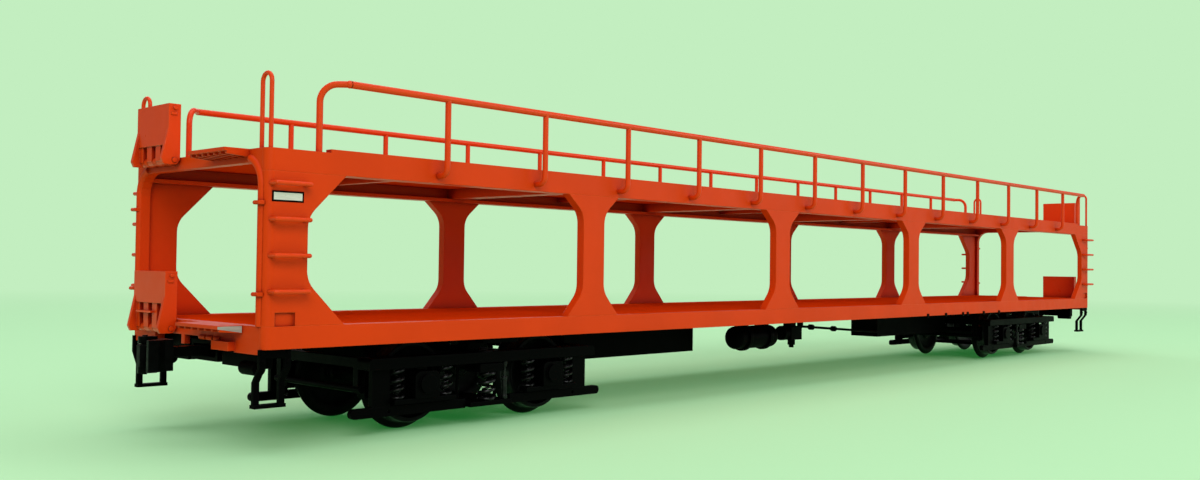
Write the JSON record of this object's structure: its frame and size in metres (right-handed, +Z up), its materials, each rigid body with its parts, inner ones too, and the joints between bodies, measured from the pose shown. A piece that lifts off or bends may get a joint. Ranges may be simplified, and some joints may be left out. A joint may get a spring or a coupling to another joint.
{
  "type": "model car carrier wagon",
  "caption": "HO-scale model of a two-deck open railway wagon for carrying cars: pierced orange sides, handrails, folding gangplates, black underframe and two bogies.",
  "frame": {"origin": "middle of the wagon, on the plane that the wheel flanges touch", "axes": "+X along the wagon towards its rear end, +Y across it towards its right side, +Z up"},
  "size_m": [0.2576, 0.0366, 0.042],
  "materials": {
    "orange_paint": "satin vermilion paint over moulded plastic",
    "orange_fittings": "satin vermilion plastic, fine fittings",
    "black_underframe": "satin black plastic",
    "black_bogie": "satin black plastic, slightly shiny edges",
    "dark_metal": "blackened cast metal",
    "wheel_metal": "blackened turned metal, bright only on the treads",
    "steel": "turned steel"
  },
  "bodies": {
    "wagon_body": {"side_sill_left": "orange_paint", "side_sill_right": "orange_paint", "sill_clips": "black_underframe", "top_beam_left": "orange_paint", "top_beam_right": "orange_paint", "posts_left": "orange_paint", "posts_right": "orange_paint", "corner_panels_left": "orange_paint", "corner_panels_right": "orange_paint", "portal_front": "orange_paint", "portal_rear": "orange_paint", "end_sill_front": "orange_paint", "end_sill_rear": "orange_paint", "lower_deck": "orange_paint", "upper_deck": "orange_paint", "lower_bearers": "black_underframe", "upper_bearers": "orange_paint", "aprons": "orange_paint", "hinge_pins": "orange_fittings", "handrail_left": "orange_fittings", "handrail_right": "orange_fittings", "corner_hoops": "orange_fittings", "ladder_rungs": "orange_fittings", "corner_steps": "black_underframe", "centre_sill": "black_underframe", "body_bolsters": "black_underframe", "headstocks": "black_underframe", "air_reservoir": "black_underframe", "reservoir_straps": "black_underframe", "brake_valve": "black_underframe", "brake_rod": "black_underframe", "coupler_boxes": "black_underframe", "coupler_pins": "steel", "kingpin_screws": "steel"},
    "bogie_front": {"bogie_frame_front": "black_bogie", "bogie_bolster_front": "black_bogie", "bogie_springs_front": "black_bogie", "axleboxes_front": "black_bogie", "tie_bars_front": "black_bogie", "brake_gear_front": "black_bogie"},
    "bogie_rear": {"bogie_frame_rear": "black_bogie", "bogie_bolster_rear": "black_bogie", "bogie_springs_rear": "black_bogie", "axleboxes_rear": "black_bogie", "tie_bars_rear": "black_bogie", "brake_gear_rear": "black_bogie"},
    "wheelset_1": {"wheelset_1": "wheel_metal"},
    "wheelset_2": {"wheelset_2": "wheel_metal"},
    "wheelset_3": {"wheelset_3": "wheel_metal"},
    "wheelset_4": {"wheelset_4": "wheel_metal"},
    "gangplate_upper_front": {"gangplate_upper_front": "orange_fittings"},
    "gangplate_upper_rear": {"gangplate_upper_rear": "orange_fittings"},
    "gangplate_lower_front": {"gangplate_lower_front": "orange_fittings"},
    "gangplate_lower_rear": {"gangplate_lower_rear": "orange_fittings"},
    "coupler_front": {"coupler_front": "dark_metal"},
    "coupler_rear": {"coupler_rear": "dark_metal"},
    "knuckle_front": {"knuckle_front": "dark_metal"},
    "knuckle_rear": {"knuckle_rear": "dark_metal"}
  },
  "joints": [
    {"name": "bogie_front_swivel", "type": "hinge", "parent": "wagon_body", "child": "bogie_front", "pos_m": [-0.0871, 0, 0.0101], "axis": [0, 0, 1], "range_deg": [-12, 12]},
    {"name": "bogie_rear_swivel", "type": "hinge", "parent": "wagon_body", "child": "bogie_rear", "pos_m": [0.0871, 0, 0.0101], "axis": [0, 0, 1], "range_deg": [-12, 12]},
    {"name": "wheelset_1_spin", "type": "hinge", "parent": "bogie_front", "child": "wheelset_1", "pos_m": [-0.0981, 0, 0.00615], "axis": [0, 1, 0], "continuous": true},
    {"name": "wheelset_2_spin", "type": "hinge", "parent": "bogie_front", "child": "wheelset_2", "pos_m": [-0.0761, 0, 0.00615], "axis": [0, 1, 0], "continuous": true},
    {"name": "wheelset_3_spin", "type": "hinge", "parent": "bogie_rear", "child": "wheelset_3", "pos_m": [0.0761, 0, 0.00615], "axis": [0, 1, 0], "continuous": true},
    {"name": "wheelset_4_spin", "type": "hinge", "parent": "bogie_rear", "child": "wheelset_4", "pos_m": [0.0981, 0, 0.00615], "axis": [0, 1, 0], "continuous": true},
    {"name": "gangplate_upper_front_fold", "type": "hinge", "parent": "wagon_body", "child": "gangplate_upper_front", "pos_m": [-0.1233, 0.0081, 0.0332], "axis": [0, -1, 0], "range_deg": [0, 90]},
    {"name": "gangplate_upper_rear_fold", "type": "hinge", "parent": "wagon_body", "child": "gangplate_upper_rear", "pos_m": [0.1233, -0.0081, 0.0332], "axis": [0, 1, 0], "range_deg": [0, 90]},
    {"name": "gangplate_lower_front_fold", "type": "hinge", "parent": "wagon_body", "child": "gangplate_lower_front", "pos_m": [-0.1233, 0.0081, 0.013], "axis": [0, -1, 0], "range_deg": [0, 90]},
    {"name": "gangplate_lower_rear_fold", "type": "hinge", "parent": "wagon_body", "child": "gangplate_lower_rear", "pos_m": [0.1233, -0.0081, 0.013], "axis": [0, 1, 0], "range_deg": [0, 90]},
    {"name": "coupler_front_swing", "type": "hinge", "parent": "wagon_body", "child": "coupler_front", "pos_m": [-0.115, 0, 0.0106], "axis": [0, 0, 1], "range_deg": [-8, 8]},
    {"name": "coupler_rear_swing", "type": "hinge", "parent": "wagon_body", "child": "coupler_rear", "pos_m": [0.115, 0, 0.0106], "axis": [0, 0, 1], "range_deg": [-8, 8]},
    {"name": "knuckle_front_open", "type": "hinge", "parent": "coupler_front", "child": "knuckle_front", "pos_m": [-0.12765, 0.00115, 0.0106], "axis": [0, 0, -1], "range_deg": [0, 40]},
    {"name": "knuckle_rear_open", "type": "hinge", "parent": "coupler_rear", "child": "knuckle_rear", "pos_m": [0.12765, -0.00115, 0.0106], "axis": [0, 0, -1], "range_deg": [0, 40]}
  ]
}
